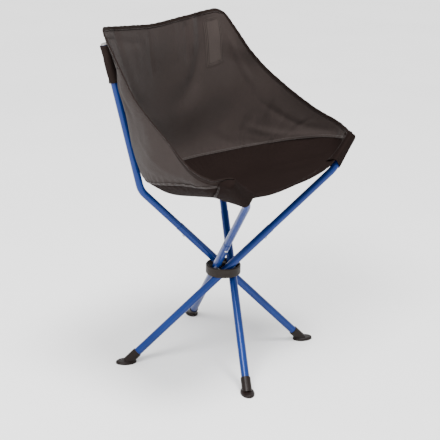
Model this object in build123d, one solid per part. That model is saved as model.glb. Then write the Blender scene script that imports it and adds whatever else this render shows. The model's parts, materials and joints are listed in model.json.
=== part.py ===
from build123d import *
import math

# Folding sling chair: four crossing poles pinned in one hub ring, a bucket
# sling hung on the four pole ends. Millimetres, +Z up, the sitter faces -Y,
# +X is the sitter's left. Z = 0 is the floor. The origin is on the floor under
# the middle of the chair. The dimensions below are measured from the hub
# axis, and save() moves each finished piece by hub_y.

# ---- driving dimensions ----
hub_y = -10.55           # the hub axis stands this far forward of the middle
leg_od = 19.0            # lower (outer) pole tube
leg_wall = 0.7
upper_od = 17.5          # upper (inner, bent) pole tube
upper_wall = 1.0
hub_z = 222.5            # height of the four pivot pins
pole_offset = 20.0       # pole axis to hub axis (the swirl)
rear_foot_radius = 220.0     # floor contact of the poles that carry the back
front_foot_radius = 237.0    # floor contact of the poles that carry the seat front
rear_elbow_radius = 196.0
front_elbow_radius = 256.0
bend_radius = 50.0
leg_above_hub = 148.0    # outer tube runs this far past the pin
tube_overlap = 45.0
button_above_hub = 123.0
button_r = 3.4
button_hole_r = 3.48
button_stroke = 3.2
rear_top = (200.0, 189.0, 758.0)     # pole end, mirrored in X
front_top = (250.0, -187.0, 525.0)
pin_r = 3.0
pin_hole_r = 3.05
ring_od_r = 41.8
ring_id_r = 36.8
ring_h = 22.0
ring_drop = 2.0          # ring centre below the pins
core_r = 7.0
core_h = 26.0
boot_od = 23.0
boot_len = 36.0
pad_len = 50.0
pad_wid = 32.0
pad_h = 6.5
sleeve_len = 86.0        # rear sleeves
sleeve_r = 10.9
pocket_r = 10.3          # front pockets
cloth = 1.2              # sling thickness
tape = 2.6               # edge tape thickness
tape_w = 8.5

# plan angle of each pole's upper half, about the hub axis
POLES = {
    "rr": dict(ang=142.0, foot=rear_foot_radius, elbow=rear_elbow_radius,
               top=(-rear_top[0], rear_top[1], rear_top[2]), rear=True),
    "rl": dict(ang=46.0, foot=rear_foot_radius, elbow=rear_elbow_radius,
               top=rear_top, rear=True),
    "fr": dict(ang=230.0, foot=front_foot_radius, elbow=front_elbow_radius,
               top=(-front_top[0], front_top[1], front_top[2]), rear=False),
    "fl": dict(ang=318.0, foot=front_foot_radius, elbow=front_elbow_radius,
               top=front_top, rear=False),
}

# sling sections: fan planes that hold the line y = fan_y, z = fan_z and turn
# by theta from straight down to nearly level. Each half section is a rational
# cubic from the middle (0, dc) to the rim (xr, dr).
fan_y = -192.0
fan_z = 870.0
# theta, xr,  dr,  dc,   a,    b,   k,   w
STATIONS = [
    (0.0, 238, 328, 403, 0.50, -75, 0.87, 3.0),
    (9.0, 273, 325, 430, 0.60, -4, 0.60, 1.5),
    (20.0, 274, 321, 473, 0.70, 6, 0.55, 1.1),
    (32.0, 263, 317, 530, 0.75, 4, 0.52, 1.0),
    (42.0, 256, 321, 545, 0.56, -6, 0.33, 1.0),
    (51.0, 248, 330, 492, 0.46, -6, 0.33, 1.0),
    (60.0, 238, 339, 452, 0.45, -3, 0.38, 1.0),
    (69.0, 231, 352, 428, 0.47, -4, 0.36, 1.0),
    (78.0, 222, 374, 418, 0.47, -4, 0.36, 1.0),
]
# side view of the seam between seat and back panels: (y, z)
SEAM = [(-215, 541), (-192, 531), (-167, 518), (-142, 512), (-100, 506),
        (-57, 498), (-22, 490), (15, 480), (58, 469), (108, 457), (155, 449),
        (260, 430)]


def save(shape, name):
    shape = shape.moved(Location((0, hub_y, 0)))
    shape.label = name
    export_step(shape, f"parts/{name}.step")
    print(name, "solids", len(shape.solids()), "valid", shape.is_valid,
          "vol", round(shape.volume, 1))


def natural(ts, vs):
    """Monotone-safe cubic Hermite interpolation through (ts, vs)."""
    n = len(ts)
    h = [ts[i + 1] - ts[i] for i in range(n - 1)]
    s = [(vs[i + 1] - vs[i]) / h[i] for i in range(n - 1)]
    m = [s[0]] + [(s[i - 1] * h[i] + s[i] * h[i - 1]) / (h[i - 1] + h[i])
                  for i in range(1, n - 1)] + [s[-1]]

    def f(t):
        t = min(max(t, ts[0]), ts[-1])
        i = 0
        while i < n - 2 and t > ts[i + 1]:
            i += 1
        u = (t - ts[i]) / h[i]
        return ((2 * u**3 - 3 * u**2 + 1) * vs[i] + (u**3 - 2 * u**2 + u) * h[i] * m[i]
                + (-2 * u**3 + 3 * u**2) * vs[i + 1] + (u**3 - u**2) * h[i] * m[i + 1])
    return f


_th = [r[0] for r in STATIONS]
FIELD = [natural(_th, [r[i] for r in STATIONS]) for i in range(1, 8)]


def half_section(theta, n=240):
    """Polyline (x, d, arc) of the half section from the middle to the rim."""
    xr, dr, dc, a, b, k, w = [f(theta) for f in FIELD]
    p = [(0, dc), (a * xr, dc), (xr + b, dr + k * (dc - dr)), (xr, dr)]
    out = []
    s = 0.0
    for i in range(n + 1):
        t = i / n
        c = ((1 - t)**3, 3 * (1 - t)**2 * t, 3 * (1 - t) * t * t * w, t**3)
        q = sum(c)
        x = sum(ci * pi[0] for ci, pi in zip(c, p)) / q
        d = sum(ci * pi[1] for ci, pi in zip(c, p)) / q
        if out:
            s += math.hypot(x - out[-1][0], d - out[-1][1])
        out.append((x, d, s))
    return out


def at_fraction(sec, f):
    """Point and in-plane outward normal of a half section at arc fraction f."""
    s = f * sec[-1][2]
    i = 0
    while i < len(sec) - 2 and sec[i + 1][2] < s:
        i += 1
    a, b = sec[i], sec[i + 1]
    t = (s - a[2]) / max(b[2] - a[2], 1e-9)
    tx, td = b[0] - a[0], b[1] - a[1]
    ln = math.hypot(tx, td)
    return (a[0] + t * tx, a[1] + t * td), (-td / ln, tx / ln)


def place(x, d, theta):
    th = math.radians(theta)
    return Vector(x, fan_y + d * math.sin(th), fan_z - d * math.cos(th))


def sling_point(theta, u, off=0.0, sec=None):
    """Point on the sling: u from -1 (right rim) to 1 (left rim). off > 0 is
    the outside (under) face."""
    sec = sec or half_section(theta)
    (x, d), (nx, nd) = at_fraction(sec, abs(u))
    x, d = x + off * nx, d + off * nd
    return place(-x if u < 0 else x, d, theta)


def closed_section(theta, u0, u1, lo, hi, n):
    sec = half_section(theta)
    us = [u0 + (u1 - u0) * i / (n - 1) for i in range(n)]
    outer = [sling_point(theta, u, hi, sec) for u in us]
    inner = [sling_point(theta, u, lo, sec) for u in us]
    return Wire([Edge.make_spline(outer), Edge.make_line(outer[-1], inner[-1]),
                 Edge.make_spline(inner[::-1]), Edge.make_line(inner[0], outer[0])])


# ---- sling ----
span = [0, 3, 6] + [10 + 4 * i for i in range(18)]      # edge tape sections
lap = 0.1                # seam clearance between cloth and tape


def inner_fraction(theta):
    """Arc fraction where the cloth ends and the edge tape begins."""
    return 1 - (tape_w + lap) / half_section(theta)[-1][2]


def panel(t_in, t_out, count, thick, n):
    """Cloth between the two edge tapes and two fan angles."""
    wires = []
    for i in range(count):
        t = t_in + (t_out - t_in) * i / (count - 1)
        f = inner_fraction(t)
        wires.append(closed_section(t, -f, f, -thick / 2, thick / 2, n))
    return Solid.make_loft(wires)


body = panel(1.31, 76.79, 20, cloth, 41)
top_tape = panel(76.8, 78.2, 3, tape, 41)
front_tape = panel(-0.15, 1.3, 3, tape, 41)


def rim_tape(sign):
    """Folded tape along a wing edge, from the front tip to the top corner."""
    wires = []
    for t in span:
        sec = half_section(t)
        f0 = 1 - tape_w / sec[-1][2]
        (x0, d0), (nx, nd) = at_fraction(sec, f0)
        (x1, d1), _ = at_fraction(sec, 1.0)
        # run a little past the cloth edge
        ln = math.hypot(x1 - x0, d1 - d0)
        x1, d1 = x1 + (x1 - x0) / ln * 1.0, d1 + (d1 - d0) / ln * 1.0
        ring = []
        for (x, d), o in (((x0, d0), tape / 2), ((x1, d1), tape / 2),
                          ((x1, d1), -tape / 2), ((x0, d0), -tape / 2)):
            ring.append(place(sign * (x + o * nx), d + o * nd, t))
        wires.append(Wire([Edge.make_line(ring[k], ring[(k + 1) % 4]) for k in range(4)]))
    return Solid.make_loft(wires)


tape_right = rim_tape(-1)
tape_left = rim_tape(1)

seam_edge = Edge.make_spline([Vector(-400, y, z) for y, z in SEAM])
low = [Vector(-400, SEAM[-1][0], 200), Vector(-400, SEAM[0][0], 200)]
seam_wire = Wire([seam_edge, Edge.make_line(Vector(-400, *SEAM[-1]), low[0]),
                  Edge.make_line(low[0], low[1]),
                  Edge.make_line(low[1], Vector(-400, *SEAM[0]))])
below = Solid.extrude(Face(seam_wire), Vector(800, 0, 0))

seat = body & below
back = body - below


def biggest(shape):
    parts = sorted(shape.solids(), key=lambda v: -v.volume)
    print("  pieces", [round(v.volume) for v in parts])
    return parts[0]


print("seat"); seat = biggest(seat)
print("back"); back = biggest(back)
save(seat, "seat_panel")
save(back, "back_panel")
save(tape_right, "edge_tape_right")
save(tape_left, "edge_tape_left")
save(top_tape, "top_tape")
save(front_tape, "front_hem")


# ---- stitched patches inside the back, in front of the rear sleeves ----
patch_low = (59.8, 0.645)    # section angle and share of the half width
patch_top = (75.0, 0.81)
patch_w = 48.0


def patch(sign):
    """Cloth patch lying on the inner face of the back, along the pole."""
    lo, hi = -cloth / 2 - 1.0, -cloth / 2 - 0.2
    wires = []
    for i in range(7):
        t = patch_low[0] + (patch_top[0] - patch_low[0]) * i / 6
        u = sign * (patch_low[1] + (patch_top[1] - patch_low[1]) * i / 6)
        half = patch_w / 2 / half_section(t)[-1][2]
        wires.append(closed_section(t, u - half, u + half, lo, hi, 9))
    return Solid.make_loft(wires)


save(patch(-1), "back_patch_right")
save(patch(1), "back_patch_left")


# ---- poles ----
def unit(v):
    return v * (1.0 / v.length)


def frame_of(key):
    p = POLES[key]
    al = math.radians(p["ang"])
    a = Vector(math.cos(al), math.sin(al), 0)
    rad = Vector(a.Y, -a.X, 0)                 # from hub axis out to the pin
    pin = rad * pole_offset + Vector(0, 0, hub_z)
    lean = math.atan2(p["foot"], hub_z)
    d1 = a * math.sin(lean) + Vector(0, 0, math.cos(lean))
    ground = pin - d1 * (hub_z / math.cos(lean))
    elbow = pin + d1 * (p["elbow"] / math.sin(lean))
    top = Vector(*p["top"])
    d2 = unit(top - elbow)
    under = a * math.cos(lean) - Vector(0, 0, math.sin(lean))
    return dict(a=a, rad=rad, pin=pin, lean=lean, d1=d1, ground=ground,
                elbow=elbow, top=top, d2=d2, under=under, rear=p["rear"])


def rod(start, direction, r, length):
    return Solid.make_cylinder(r, length, Plane(origin=start, z_dir=direction))


def tube(start, direction, r, ri, length):
    return rod(start, direction, r, length) - rod(start - direction, direction, ri, length + 2)


for key in POLES:
    f = frame_of(key)
    d1, d2, under = f["d1"], f["d2"], f["under"]
    # lower tube
    low_end = f["ground"] + d1 * 12.0
    rim = f["pin"] + d1 * leg_above_hub
    leg = tube(low_end, d1, leg_od / 2, leg_od / 2 - leg_wall, (rim - low_end).length)
    leg = leg - rod(f["pin"] - f["rad"] * 15, f["rad"], pin_hole_r, 30)
    button_at = f["pin"] + d1 * button_above_hub
    leg = leg - rod(button_at, under, button_hole_r, 14)
    save(leg, f"leg_tube_{key}")

    # upper tube: straight, bend, straight
    start = rim - d1 * tube_overlap
    bend = d1.get_angle(d2)
    tl = bend_radius * math.tan(math.radians(bend / 2))
    t1, t2 = f["elbow"] - d1 * tl, f["elbow"] + d2 * tl
    inward = unit(d2 - d1)
    mid = f["elbow"] + inward * (bend_radius / math.cos(math.radians(bend / 2)) - bend_radius)
    path = Wire([Edge.make_line(start, t1), Edge.make_three_point_arc(t1, mid, t2),
                 Edge.make_line(t2, f["top"])])
    at = Plane(origin=start, z_dir=d1)
    outer = Solid.sweep(Face(Wire.make_circle(upper_od / 2, at)), path)
    inner = Solid.sweep(Face(Wire.make_circle(upper_od / 2 - upper_wall, at)), path)
    upper = outer - inner
    upper = upper - rod(button_at, under, button_hole_r, 14)
    print(key, "bend", round(bend, 1), "lean", round(math.degrees(f["lean"]), 1))
    save(upper, f"upper_tube_{key}")

    # end cap in the upper tube
    cap = rod(f["top"] - d2 * 14, d2, upper_od / 2 - upper_wall - 0.02, 14)
    cap = cap + fillet(rod(f["top"], d2, upper_od / 2 + 0.3, 3.0).edges().sort_by(
        lambda e: (e.center() - f["top"]).dot(d2))[-1:], 1.4)
    save(cap, f"end_cap_{key}")

    # sleeve (rear) or closed pocket (front) around the pole end
    if f["rear"]:
        s0 = f["top"] - d2 * sleeve_len
        sleeve = tube(s0, d2, sleeve_r, upper_od / 2 + 0.35, sleeve_len - 1.0)
        save(sleeve, f"pole_sleeve_{key}")
    else:
        s0 = t2 + d2 * 1.0
        ln = (f["top"] - s0).length
        shell = rod(s0, d2, pocket_r, ln + 5.0)
        shell = fillet(shell.edges().sort_by(
            lambda e: (e.center() - s0).dot(d2))[-1:], 4.0)
        shell = shell - rod(s0 - d2, d2, upper_od / 2 + 0.35, ln + 4.5)
        save(shell, f"pole_pocket_{key}")

    # snap button and its leaf spring inside the upper tube
    btn = rod(button_at + under * 5.4, under, button_r, 6.9)
    btn = fillet(btn.edges().sort_by(
        lambda e: (e.center() - button_at).dot(under))[-1:], 1.6)
    btn = btn + rod(button_at + under * 4.2, under, 4.5, 1.3)
    save(btn, f"snap_button_{key}")
    ri = upper_od / 2 - upper_wall
    pl = Plane(origin=button_at, x_dir=d1, z_dir=d1.cross(under))
    # in-plane: x along the pole, y towards the underside
    pts = [(8, 3.0), (-6, 3.0), (-17, -1.5), (-20, -3.6), (-18.5, -5.6), (14, -5.6)]
    th = 0.35

    def off(pts, d):
        out = []
        for i, (x, y) in enumerate(pts):
            p0 = pts[max(i - 1, 0)]
            p1 = pts[min(i + 1, len(pts) - 1)]
            tx, ty = p1[0] - p0[0], p1[1] - p0[1]
            ln = math.hypot(tx, ty)
            out.append((x - ty / ln * d, y + tx / ln * d))
        return out
    poly = off(pts, th) + off(pts, -th)[::-1]
    local = [pl.from_local_coords(Vector(x, y, -4)) for x, y in poly]
    face = Face(Wire.make_polygon(local, close=True))
    spring = Solid.extrude(face, pl.z_dir * 8.0)
    save(spring, f"snap_spring_{key}")

    # boot: socket around the tube end, fused to a domed oblong pad
    base = Vector(f["ground"].X, f["ground"].Y, 0)
    pad_plane = Plane(origin=base, x_dir=-f["a"], z_dir=(0, 0, 1))
    pad = Solid.extrude(Face(Wire.make_ellipse(pad_len / 2, pad_wid / 2, pad_plane)),
                        Vector(0, 0, pad_h))
    pad = fillet(pad.edges().sort_by(Axis.Z)[-1:], 4.5)
    socket = rod(f["ground"] + d1 * 2.0, d1, boot_od / 2, boot_len)
    socket = fillet(socket.edges().sort_by(
        lambda e: (e.center() - f["ground"]).dot(d1))[-1:], 1.5)
    floor_cut = Solid.make_box(200, 200, 40, Plane(origin=base + Vector(-100, -100, -40)))
    boot = pad + socket - floor_cut - rod(f["ground"] + d1 * 12.0, d1, leg_od / 2, 60)
    save(boot, f"boot_{key}")

# ---- hub ----
centre = Vector(0, 0, hub_z - ring_drop)
ring = Solid.make_cylinder(ring_od_r, ring_h, Plane(origin=centre - Vector(0, 0, ring_h / 2)))
ring = ring - Solid.make_cylinder(ring_id_r, ring_h + 2, Plane(origin=centre - Vector(0, 0, ring_h / 2 + 1)))
ring = fillet(ring.edges().filter_by(GeomType.CIRCLE), 2.2)
core = Solid.make_cylinder(core_r, core_h, Plane(origin=Vector(0, 0, hub_z - core_h / 2)))
core = fillet(core.edges().filter_by(GeomType.CIRCLE), 1.5)
pins, spacers = [], []
for key in POLES:
    f = frame_of(key)
    rad = f["rad"]
    c = Vector(0, 0, hub_z)
    pin = rod(c + rad * 4.4, rad, pin_r, 39.4 - 4.4)
    ring = ring - pin
    core = core - pin
    pins.append(pin)
    for r0, r1 in ((core_r + 0.6, pole_offset - leg_od / 2 - 0.3),
                   (pole_offset + leg_od / 2 + 0.3, ring_id_r - 0.5)):
        spacers.append(rod(c + rad * r0, rad, 5.0, r1 - r0) - pin)
save(ring, "hub_ring")
save(core, "hub_core")
save(Compound(pins), "pivot_pins")
save(Compound(spacers), "pivot_spacers")
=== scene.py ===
import json
import math

import bmesh
import bpy
import numpy as np
from mathutils import Matrix, Vector


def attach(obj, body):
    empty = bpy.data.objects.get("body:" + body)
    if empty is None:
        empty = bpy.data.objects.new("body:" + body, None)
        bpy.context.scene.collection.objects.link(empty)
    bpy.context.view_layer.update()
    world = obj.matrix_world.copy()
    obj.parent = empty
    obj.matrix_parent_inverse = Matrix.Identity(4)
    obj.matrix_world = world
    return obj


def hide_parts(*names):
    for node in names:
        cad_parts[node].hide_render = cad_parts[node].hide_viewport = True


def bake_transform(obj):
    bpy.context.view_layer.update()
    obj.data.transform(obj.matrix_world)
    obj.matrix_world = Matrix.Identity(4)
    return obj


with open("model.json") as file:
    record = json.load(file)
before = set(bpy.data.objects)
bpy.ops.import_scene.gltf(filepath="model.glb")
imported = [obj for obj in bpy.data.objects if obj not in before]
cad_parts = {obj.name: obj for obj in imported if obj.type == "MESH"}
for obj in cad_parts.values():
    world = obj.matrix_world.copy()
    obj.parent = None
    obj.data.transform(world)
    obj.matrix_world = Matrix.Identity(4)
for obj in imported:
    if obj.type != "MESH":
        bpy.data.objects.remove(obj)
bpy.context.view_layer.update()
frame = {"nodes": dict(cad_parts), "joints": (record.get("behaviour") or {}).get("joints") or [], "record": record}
record = frame["record"]

# ---------------------------------------------------------------- sling form
# The origin is on the floor under the middle of the chair; the hub axis, which
# the poles cross and the sling is laid out from, stands HUB_Y from it.
HUB_Y = -0.01055
# Same fan sections as the CAD sling, in metres: fan planes turn about the
# line y = FAN_Y, z = FAN_Z from straight down (front hem) to nearly level
# (top edge). Each half section is a rational cubic, middle to rim.
FAN_Y, FAN_Z = HUB_Y - 0.192, 0.870
STATIONS = np.array([
    # theta, rim x, rim d, mid d, pull a, pull b, pull k, weight
    (0.0, 0.238, 0.328, 0.403, 0.50, -0.075, 0.87, 3.0),
    (9.0, 0.273, 0.325, 0.430, 0.60, -0.004, 0.60, 1.5),
    (20.0, 0.274, 0.321, 0.473, 0.70, 0.006, 0.55, 1.1),
    (32.0, 0.263, 0.317, 0.530, 0.75, 0.004, 0.52, 1.0),
    (42.0, 0.256, 0.321, 0.545, 0.56, -0.006, 0.33, 1.0),
    (51.0, 0.248, 0.330, 0.492, 0.46, -0.006, 0.33, 1.0),
    (60.0, 0.238, 0.339, 0.452, 0.45, -0.003, 0.38, 1.0),
    (69.0, 0.231, 0.352, 0.428, 0.47, -0.004, 0.36, 1.0),
    (78.0, 0.222, 0.374, 0.418, 0.47, -0.004, 0.36, 1.0),
])
# side view of the seam between seat and back, y from the hub axis
SEAM_YZ = np.array([
    (-0.215, 0.541), (-0.192, 0.531), (-0.167, 0.518), (-0.142, 0.512),
    (-0.100, 0.506), (-0.057, 0.498), (-0.022, 0.490), (0.015, 0.480),
    (0.058, 0.469), (0.108, 0.457), (0.155, 0.449), (0.260, 0.430)])
THETA_END = 78.0
CLOTH = 0.0011


def hermite(xs, ys, x):
    """Cubic Hermite curve through (xs, ys) at x."""
    h = np.diff(xs)
    s = np.diff(ys) / h
    m = np.concatenate([[s[0]], (s[:-1] * h[1:] + s[1:] * h[:-1]) / (h[:-1] + h[1:]), [s[-1]]])
    x = np.clip(x, xs[0], xs[-1])
    i = np.clip(np.searchsorted(xs, x, side="right") - 1, 0, len(h) - 1)
    u = (x - xs[i]) / h[i]
    return ((2 * u**3 - 3 * u**2 + 1) * ys[i] + (u**3 - 2 * u**2 + u) * h[i] * m[i]
            + (-2 * u**3 + 3 * u**2) * ys[i + 1] + (u**3 - u**2) * h[i] * m[i + 1])


def seam_height(y):
    return hermite(SEAM_YZ[:, 0], SEAM_YZ[:, 1], y - HUB_Y)


def unit(v):
    return v / np.maximum(np.linalg.norm(v, axis=-1, keepdims=True), 1e-12)


def smooth(x, lo, hi):
    t = np.clip((x - lo) / (hi - lo), 0, 1)
    return t * t * (3 - 2 * t)


ROWS, COLS = 184, 233
theta_axis = np.linspace(0, THETA_END, ROWS)
u_axis = np.linspace(-1, 1, COLS)


def sling_grid():
    """Points and flat (width, length) coordinates of the sling."""
    t = np.linspace(0, 1, 500)
    bern = [(1 - t)**3, 3 * (1 - t)**2 * t, 3 * (1 - t) * t * t, t**3]
    pts = np.zeros((ROWS, COLS, 3))
    flat = np.zeros((ROWS, COLS, 2))
    for i, th in enumerate(theta_axis):
        xr, dr, dc, a, b, k, w = [hermite(STATIONS[:, 0], STATIONS[:, c], np.array(th)) for c in range(1, 8)]
        q = bern[0] + bern[1] + w * bern[2] + bern[3]
        x = (bern[1] * a * xr + w * bern[2] * (xr + b) + bern[3] * xr) / q
        d = (bern[0] * dc + bern[1] * dc + w * bern[2] * (dr + k * (dc - dr)) + bern[3] * dr) / q
        s = np.concatenate([[0], np.cumsum(np.hypot(np.diff(x), np.diff(d)))])
        at = np.abs(u_axis) * s[-1]
        xx = np.sign(u_axis) * np.interp(at, s, x)
        dd = np.interp(at, s, d)
        r = math.radians(th)
        pts[i, :, 0] = xx
        pts[i, :, 1] = FAN_Y + dd * math.sin(r)
        pts[i, :, 2] = FAN_Z - dd * math.cos(r)
        flat[i, :, 0] = u_axis * s[-1]
    step = np.linalg.norm(np.diff(pts, axis=0), axis=-1)
    flat[1:, :, 1] = np.cumsum(step, axis=0)
    return pts, flat


def grid_normals(p):
    du = np.gradient(p, axis=1)
    dt = np.gradient(p, axis=0)
    return unit(np.cross(dt, du))


base, flat = sling_grid()
normal0 = grid_normals(base)
if normal0[ROWS // 3, COLS // 2, 2] > 0:      # outward is down under the seat
    normal0 = -normal0
FLIP = np.sign((grid_normals(base) * normal0).sum(-1)).mean()


def value_noise(p, size, seed):
    """Smooth noise in -1..1 over points p (..., 2 or 3), cells of that size."""
    r = np.random.default_rng(seed)
    table = r.uniform(-1, 1, 4096)
    q = np.asarray(p) / size
    cell = np.floor(q).astype(int)
    f = q - cell
    f = f * f * (3 - 2 * f)
    n = q.shape[-1]
    primes = np.array([73856093, 19349663, 83492791])[:n]
    out = 0
    for corner in range(2**n):
        bits = np.array([(corner >> k) & 1 for k in range(n)])
        weight = np.prod(np.where(bits, f, 1 - f), axis=-1)
        idx = ((cell + bits) * primes).sum(-1) & 4095
        out = out + weight * table[idx]
    return out


T2 = np.repeat(theta_axis[:, None], COLS, 1)
U2 = np.repeat(u_axis[None, :], ROWS, 0)
# rough metres of cloth for one unit of u and for one degree of theta
U_SPAN, THETA_SPAN = 0.45, 0.0075
ALONG = np.stack([U2 * U_SPAN, T2 * THETA_SPAN], -1)


def crease(h, path, width, depth, fade_in=0.2, fade_out=0.25):
    """Adds a soft valley along (theta, u) points; depth > 0 pushes outward."""
    pts = np.array([(u * U_SPAN, t * THETA_SPAN) for t, u in path])
    seg = np.linalg.norm(np.diff(pts, axis=0), axis=1)
    start = np.concatenate([[0], np.cumsum(seg)])
    best = np.full(ALONG.shape[:2], 1e9)
    run = np.zeros(ALONG.shape[:2])
    for k in range(len(seg)):
        ab = pts[k + 1] - pts[k]
        lo = -0.5 if k == 0 else 0.0
        hi = 1.5 if k == len(seg) - 1 else 1.0
        t = np.clip(((ALONG - pts[k]) @ ab) / seg[k]**2, lo, hi)
        d = np.linalg.norm(ALONG - pts[k] - t[..., None] * ab, axis=-1)
        near = d < best
        best = np.where(near, d, best)
        run = np.where(near, (start[k] + t * seg[k]) / start[-1], run)
    fade = smooth(run, -0.06, fade_in) * (1 - smooth(run, 1 - fade_out, 1.06))
    return h + depth * fade * np.exp(-(best / width)**2)


# ---------------------------------------------------------------- poles
POLE = {}
LONG = {"rr": "pole_rear_right", "rl": "pole_rear_left", "fr": "pole_front_right", "fl": "pole_front_left"}
# pole ends, measured from the hub axis on the floor
TOP = {"rr": (-0.200, 0.189, 0.758), "rl": (0.200, 0.189, 0.758),
       "fr": (-0.250, -0.187, 0.525), "fl": (0.250, -0.187, 0.525)}
HUB = np.array([0.0, HUB_Y, 0.0])
ELBOW = {"r": 0.196, "f": 0.256}
BEND_RADIUS = 0.050
joints = {j["name"]: j for j in frame["joints"]}
feet = {m["name"]: m for m in record["mounts"]}
for key, top in TOP.items():
    pin = np.array(joints["fold_" + key]["pos_m"], float)
    ground = np.array(feet["foot_" + key]["pos_m"], float)
    d1 = unit(pin - ground)
    out = math.hypot(d1[0], d1[1])
    elbow = pin + d1 * ELBOW[key[0]] / out
    top = HUB + top
    d2 = unit(top - elbow)
    turn = math.acos(float(d1 @ d2))
    tl = BEND_RADIUS * math.tan(turn / 2)
    POLE[key] = dict(pin=pin, d1=d1, d2=d2, elbow=elbow, top=top, after=elbow + d2 * tl)

# ---------------------------------------------------------------- hanging shape
# ---- folds and puckers of the hanging cloth ----
X, Y, Z = base[..., 0], base[..., 1], base[..., 2]
seam_gap = Z - seam_height(Y)
h = np.zeros((ROWS, COLS))
# slow undulation
h += 0.0022 * value_noise(flat, 0.11, 1) * smooth(1 - np.abs(U2), 0, 0.15)
h += 0.0009 * value_noise(flat, 0.045, 2) * smooth(1 - np.abs(U2), 0, 0.1)
# puckers across the sewn seam
around = np.arctan2(X, -(Y - HUB_Y + 0.02)) * 0.2
ripple = np.sin(around / 0.017 * 2 * math.pi + 2.4 * value_noise(flat, 0.06, 3))
ripple *= 0.55 + 0.45 * value_noise(flat, 0.05, 4)
h += 0.0013 * ripple * np.exp(-(seam_gap / 0.020)**2)
# folds of both wings: (theta, u) points, width, depths on the left and right,
# and the shares of the length over which the fold fades in and out
WING_FOLDS = [
    # the sling hangs fuller behind the wings
    ([(62, 0.88), (55, 0.79), (49, 0.71), (44, 0.61), (38, 0.53), (33, 0.46)], 0.055,
     (0.0085, 0.0085), 0.15, 0.15),
    ([(38, 0.50), (34, 0.42), (31, 0.34)], 0.035, (0.004, 0.004)),
    # the valley where the back turns into the wing, from the sleeve down to the middle
    ([(78, 0.69), (66, 0.56), (57.5, 0.41), (54, 0.29), (52, 0.12)], 0.021, (0.0080, 0.005), 0.05, 0.45),
    # pull lines from the front pole ends across the wing, and under the seat
    ([(9, 0.93), (24, 0.84), (42, 0.80)], 0.010, (0.0030, 0.0012)),
    ([(10, 0.90), (26, 0.74), (40, 0.60)], 0.011, (-0.0032, -0.00128)),
    ([(12, 0.88), (28, 0.64), (38, 0.50)], 0.009, (0.0026, 0.00104)),
    ([(4, 0.74), (12, 0.60), (20, 0.42)], 0.013, (-0.0028, -0.0028)),
    ([(70, 0.90), (58, 0.86), (46, 0.84)], 0.012, (-0.0025, -0.0025)),
]
for sgn, side in ((-1, 1), (1, 0)):
    for path, width, depths, *fade in WING_FOLDS:
        h = crease(h, [(t, sgn * u) for t, u in path], width, depths[side], *fade)
LONE_FOLDS = [
    # short folds that stand up from the seam in the left wing
    ([(33.5, 0.49), (37.5, 0.588), (41.0, 0.72)], 0.0065, 0.0030, 0.1, 0.5),
    ([(33.0, 0.54), (36.0, 0.640), (38.5, 0.74)], 0.0065, -0.0026, 0.1, 0.5),
    ([(30.0, 0.60), (34.0, 0.713), (38.5, 0.87)], 0.0070, 0.0032, 0.1, 0.5),
    ([(29.0, 0.65), (30.5, 0.760), (32.0, 0.88)], 0.0065, -0.0026, 0.1, 0.5),
    ([(26.0, 0.71), (25.0, 0.830), (21.0, 0.94)], 0.0060, 0.0024, 0.1, 0.4),
    # soft upright folds in the back, deepest beside the sleeve
    ([(77, 0.57), (71, 0.50), (65, 0.455)], 0.012, -0.0026, 0.1),
    ([(76, 0.46), (69, 0.41), (62, 0.36)], 0.012, 0.0024, 0.15),
    ([(77, 0.30), (70, 0.28), (64, 0.25)], 0.016, -0.0014, 0.1),
    ([(76, -0.10), (67.5, -0.087), (60, -0.06)], 0.016, 0.0022, 0.15),
    ([(76, -0.36), (69, -0.30), (62, -0.26)], 0.020, -0.0012, 0.2),
    ([(73.5, -0.66), (72.5, -0.42), (72.5, -0.18)], 0.010, 0.0013),
]
for path, width, depth, *fade in LONE_FOLDS:
    h = crease(h, path, width, depth, *fade)
# the top edge sags between the sleeves and stands up at its corners
corner_up = 0.0055 * smooth(np.abs(U2), 0.45, 0.9)
middle_down = 0.0065 * (1 - smooth(np.abs(U2), 0.0, 0.55))
lift = smooth(T2, 58, 78) * (corner_up - middle_down)
up_cloth = unit(np.gradient(base, axis=0))
base = base + up_cloth * lift[..., None]
# the front corners are drawn onto the pole ends
for key, sgn in (("fr", -1), ("fl", 1)):
    tip, d2 = POLE[key]["top"], POLE[key]["d2"]
    corner = base[0, 0 if sgn < 0 else -1]
    over = corner - tip
    over = unit(over - d2 * (over @ d2))
    pull = tip + over * 0.0122 + d2 * 0.004 - corner
    away = np.linalg.norm(base - corner, axis=-1)
    base = base + pull * (1 - smooth(away, 0.0, 0.11))[..., None]**1.3
# the right wing's edge hangs lower and turns outward towards its front corner
from_rim = (1 - np.abs(U2)) * np.abs(flat[:, -1:, 0])
turned = smooth(T2, 1.0, 7.0) * (1 - smooth(T2, 12.0, 27.0)) * (U2 < 0)
base[..., 2] -= 0.0075 * turned * (1 - smooth(from_rim, 0.0, 0.075))
h += 0.0065 * turned * (1 - smooth(from_rim, 0.0, 0.015))
cloth = base + normal0 * h[..., None]
cloth_n = grid_normals(cloth) * FLIP


def on_sling(theta, u, off=0.0):
    """Point and outward normal of the finished sling at (theta, u)."""
    theta, u = np.asarray(theta, float), np.asarray(u, float)
    fi = np.clip(theta / THETA_END * (ROWS - 1), 0, ROWS - 1.0001)
    fj = np.clip((u + 1) / 2 * (COLS - 1), 0, COLS - 1.0001)
    i, j = fi.astype(int), fj.astype(int)
    a, b = (fi - i)[..., None], (fj - j)[..., None]

    def mix(g):
        return ((g[i, j] * (1 - b) + g[i, j + 1] * b) * (1 - a)
                + (g[i + 1, j] * (1 - b) + g[i + 1, j + 1] * b) * a)
    n = unit(mix(cloth_n))
    return mix(cloth) + n * off, n, mix(flat)
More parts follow.
